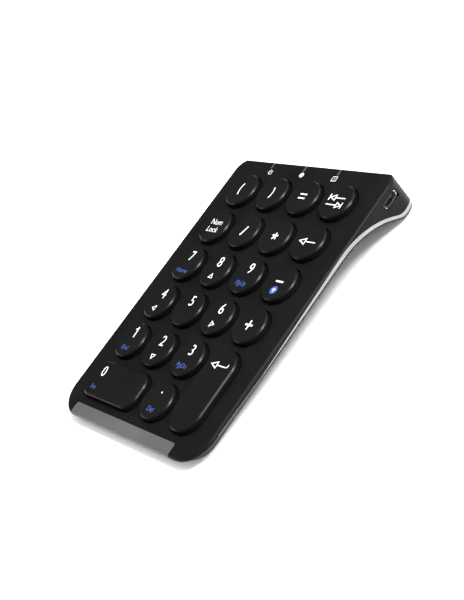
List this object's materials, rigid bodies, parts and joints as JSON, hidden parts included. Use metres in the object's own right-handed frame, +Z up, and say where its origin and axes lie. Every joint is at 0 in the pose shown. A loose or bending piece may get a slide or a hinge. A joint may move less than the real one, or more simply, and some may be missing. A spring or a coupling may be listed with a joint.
{
  "type": "numeric keypad",
  "caption": "Wireless numeric keypad: thin tilted deck of round dished keys over a curled hollow rear foot, with silver edge trim and a grey front strip.",
  "frame": {"origin": "centre of the bounding box on the table the keypad stands on, with the feet's undersides at Z = 0", "axes": "+X to the right as the user sees it, +Y away from the user to the rear, +Z up; the deck rises to the rear by 5.1 degrees"},
  "size_m": [0.092, 0.13, 0.0181],
  "materials": {
    "cover_black": "fine moulded grain",
    "base_black": "fine moulded grain",
    "key_black": "satin",
    "silver_trim": "satin plated plastic",
    "trim_grey": "satin",
    "light_guide": "clear",
    "foot_rubber": "matt",
    "screw_steel": "black zinc",
    "frame_black": "matt",
    "silicone": "matt translucent",
    "film": "clear film",
    "connector_ivory": "matt",
    "plate_steel": "plain",
    "board_green": "solder mask",
    "chip_black": "matt",
    "shield_steel": "tinned",
    "cell_wrap": "shrink wrap",
    "lead_red": "insulation",
    "led_lens": "clear"
  },
  "bodies": {
    "case": {"top_cover": "cover_black", "bottom_cover": "base_black", "edge_trim": "silver_trim", "front_trim": "trim_grey", "led_light_guides": "light_guide", "rear_feet": "foot_rubber", "front_feet": "foot_rubber", "case_screws": "screw_steel", "key_guide_frame": "frame_black", "dome_mat": "silicone", "membrane_top": "film", "membrane_spacer": "film", "membrane_bottom": "film", "membrane_tail": "film", "tail_connector": "connector_ivory", "backplate": "plate_steel", "main_board": "board_green", "board_screws": "screw_steel", "controller_chip": "chip_black", "radio_module": "shield_steel", "usb_port_shell": "shield_steel", "usb_port_tongue": "chip_black", "battery_cell": "cell_wrap", "battery_leads": "lead_red", "battery_connector": "connector_ivory", "led_board": "board_green", "status_leds": "led_lens", "led_header": "chip_black", "power_switch_body": "shield_steel"},
    "key_paren_left": {"key_paren_left": "key_black"},
    "key_paren_right": {"key_paren_right": "key_black"},
    "key_equals": {"key_equals": "key_black"},
    "key_tab": {"key_tab": "key_black"},
    "key_num_lock": {"key_num_lock": "key_black"},
    "key_divide": {"key_divide": "key_black"},
    "key_multiply": {"key_multiply": "key_black"},
    "key_backspace": {"key_backspace": "key_black"},
    "key_7": {"key_7": "key_black"},
    "key_8": {"key_8": "key_black"},
    "key_9": {"key_9": "key_black"},
    "key_minus": {"key_minus": "key_black"},
    "key_4": {"key_4": "key_black"},
    "key_5": {"key_5": "key_black"},
    "key_6": {"key_6": "key_black"},
    "key_plus": {"key_plus": "key_black"},
    "key_1": {"key_1": "key_black"},
    "key_2": {"key_2": "key_black"},
    "key_3": {"key_3": "key_black"},
    "key_enter": {"key_enter": "key_black"},
    "key_zero": {"key_zero": "key_black"},
    "key_decimal": {"key_decimal": "key_black"},
    "power_switch": {"power_switch_knob": "cover_black"}
  },
  "joints": [
    {"name": "press_paren_left", "type": "slide", "parent": "case", "child": "key_paren_left", "axis": [0, 0.0887, -0.9961], "range_m": [0, 0.0014], "stiffness_N_per_m": 350, "springref_m": -0.0008, "deforming": ["dome_mat"]},
    {"name": "press_paren_right", "type": "slide", "parent": "case", "child": "key_paren_right", "axis": [0, 0.0887, -0.9961], "range_m": [0, 0.0014], "stiffness_N_per_m": 350, "springref_m": -0.0008, "deforming": ["dome_mat"]},
    {"name": "press_equals", "type": "slide", "parent": "case", "child": "key_equals", "axis": [0, 0.0887, -0.9961], "range_m": [0, 0.0014], "stiffness_N_per_m": 350, "springref_m": -0.0008, "deforming": ["dome_mat"]},
    {"name": "press_tab", "type": "slide", "parent": "case", "child": "key_tab", "axis": [0, 0.0887, -0.9961], "range_m": [0, 0.0014], "stiffness_N_per_m": 350, "springref_m": -0.0008, "deforming": ["dome_mat"]},
    {"name": "press_num_lock", "type": "slide", "parent": "case", "child": "key_num_lock", "axis": [0, 0.0887, -0.9961], "range_m": [0, 0.0014], "stiffness_N_per_m": 350, "springref_m": -0.0008, "deforming": ["dome_mat"]},
    {"name": "press_divide", "type": "slide", "parent": "case", "child": "key_divide", "axis": [0, 0.0887, -0.9961], "range_m": [0, 0.0014], "stiffness_N_per_m": 350, "springref_m": -0.0008, "deforming": ["dome_mat"]},
    {"name": "press_multiply", "type": "slide", "parent": "case", "child": "key_multiply", "axis": [0, 0.0887, -0.9961], "range_m": [0, 0.0014], "stiffness_N_per_m": 350, "springref_m": -0.0008, "deforming": ["dome_mat"]},
    {"name": "press_backspace", "type": "slide", "parent": "case", "child": "key_backspace", "axis": [0, 0.0887, -0.9961], "range_m": [0, 0.0014], "stiffness_N_per_m": 350, "springref_m": -0.0008, "deforming": ["dome_mat"]},
    {"name": "press_7", "type": "slide", "parent": "case", "child": "key_7", "axis": [0, 0.0887, -0.9961], "range_m": [0, 0.0014], "stiffness_N_per_m": 350, "springref_m": -0.0008, "deforming": ["dome_mat"]},
    {"name": "press_8", "type": "slide", "parent": "case", "child": "key_8", "axis": [0, 0.0887, -0.9961], "range_m": [0, 0.0014], "stiffness_N_per_m": 350, "springref_m": -0.0008, "deforming": ["dome_mat"]},
    {"name": "press_9", "type": "slide", "parent": "case", "child": "key_9", "axis": [0, 0.0887, -0.9961], "range_m": [0, 0.0014], "stiffness_N_per_m": 350, "springref_m": -0.0008, "deforming": ["dome_mat"]},
    {"name": "press_minus", "type": "slide", "parent": "case", "child": "key_minus", "axis": [0, 0.0887, -0.9961], "range_m": [0, 0.0014], "stiffness_N_per_m": 350, "springref_m": -0.0008, "deforming": ["dome_mat"]},
    {"name": "press_4", "type": "slide", "parent": "case", "child": "key_4", "axis": [0, 0.0887, -0.9961], "range_m": [0, 0.0014], "stiffness_N_per_m": 350, "springref_m": -0.0008, "deforming": ["dome_mat"]},
    {"name": "press_5", "type": "slide", "parent": "case", "child": "key_5", "axis": [0, 0.0887, -0.9961], "range_m": [0, 0.0014], "stiffness_N_per_m": 350, "springref_m": -0.0008, "deforming": ["dome_mat"]},
    {"name": "press_6", "type": "slide", "parent": "case", "child": "key_6", "axis": [0, 0.0887, -0.9961], "range_m": [0, 0.0014], "stiffness_N_per_m": 350, "springref_m": -0.0008, "deforming": ["dome_mat"]},
    {"name": "press_plus", "type": "slide", "parent": "case", "child": "key_plus", "axis": [0, 0.0887, -0.9961], "range_m": [0, 0.0014], "stiffness_N_per_m": 350, "springref_m": -0.0008, "deforming": ["dome_mat"]},
    {"name": "press_1", "type": "slide", "parent": "case", "child": "key_1", "axis": [0, 0.0887, -0.9961], "range_m": [0, 0.0014], "stiffness_N_per_m": 350, "springref_m": -0.0008, "deforming": ["dome_mat"]},
    {"name": "press_2", "type": "slide", "parent": "case", "child": "key_2", "axis": [0, 0.0887, -0.9961], "range_m": [0, 0.0014], "stiffness_N_per_m": 350, "springref_m": -0.0008, "deforming": ["dome_mat"]},
    {"name": "press_3", "type": "slide", "parent": "case", "child": "key_3", "axis": [0, 0.0887, -0.9961], "range_m": [0, 0.0014], "stiffness_N_per_m": 350, "springref_m": -0.0008, "deforming": ["dome_mat"]},
    {"name": "press_enter", "type": "slide", "parent": "case", "child": "key_enter", "axis": [0, 0.0887, -0.9961], "range_m": [0, 0.0014], "stiffness_N_per_m": 350, "springref_m": -0.0008, "deforming": ["dome_mat"]},
    {"name": "press_zero", "type": "slide", "parent": "case", "child": "key_zero", "axis": [0, 0.0887, -0.9961], "range_m": [0, 0.0014], "stiffness_N_per_m": 350, "springref_m": -0.0008, "deforming": ["dome_mat"]},
    {"name": "press_decimal", "type": "slide", "parent": "case", "child": "key_decimal", "axis": [0, 0.0887, -0.9961], "range_m": [0, 0.0014], "stiffness_N_per_m": 350, "springref_m": -0.0008, "deforming": ["dome_mat"]},
    {"name": "power_switch_slide", "type": "slide", "parent": "case", "child": "power_switch", "axis": [1, 0, 0], "range_m": [0, 0.002]}
  ]
}
